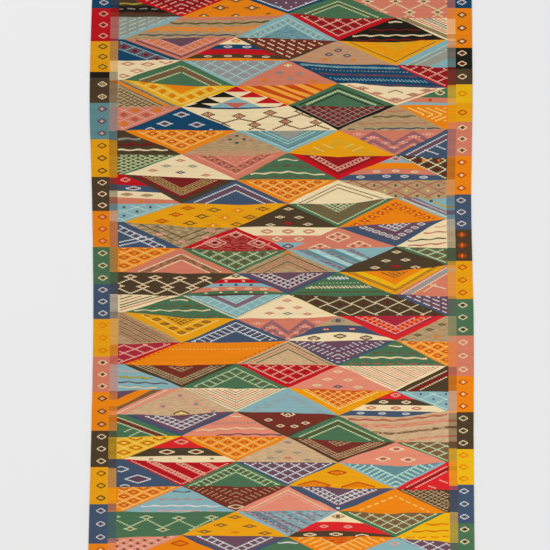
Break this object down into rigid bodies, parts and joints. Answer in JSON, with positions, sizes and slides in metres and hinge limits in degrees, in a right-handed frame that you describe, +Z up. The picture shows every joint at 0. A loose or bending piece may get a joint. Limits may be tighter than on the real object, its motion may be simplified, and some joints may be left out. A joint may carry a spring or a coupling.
{
  "type": "moroccan rug",
  "caption": "Long flat-woven wool kilim lying flat, with slightly wavy selvedges, plain ends and one soft fold line along its length.",
  "frame": {"origin": "middle of the rug's underside, on the floor", "axes": "+X across the rug, +Y along the warp, +Z up out of the face"},
  "size_m": [1.55, 2.54, 0.0039],
  "materials": {
    "wool": "matte"
  },
  "bodies": {
    "root": {"kilim": "wool"}
  },
  "joints": []
}
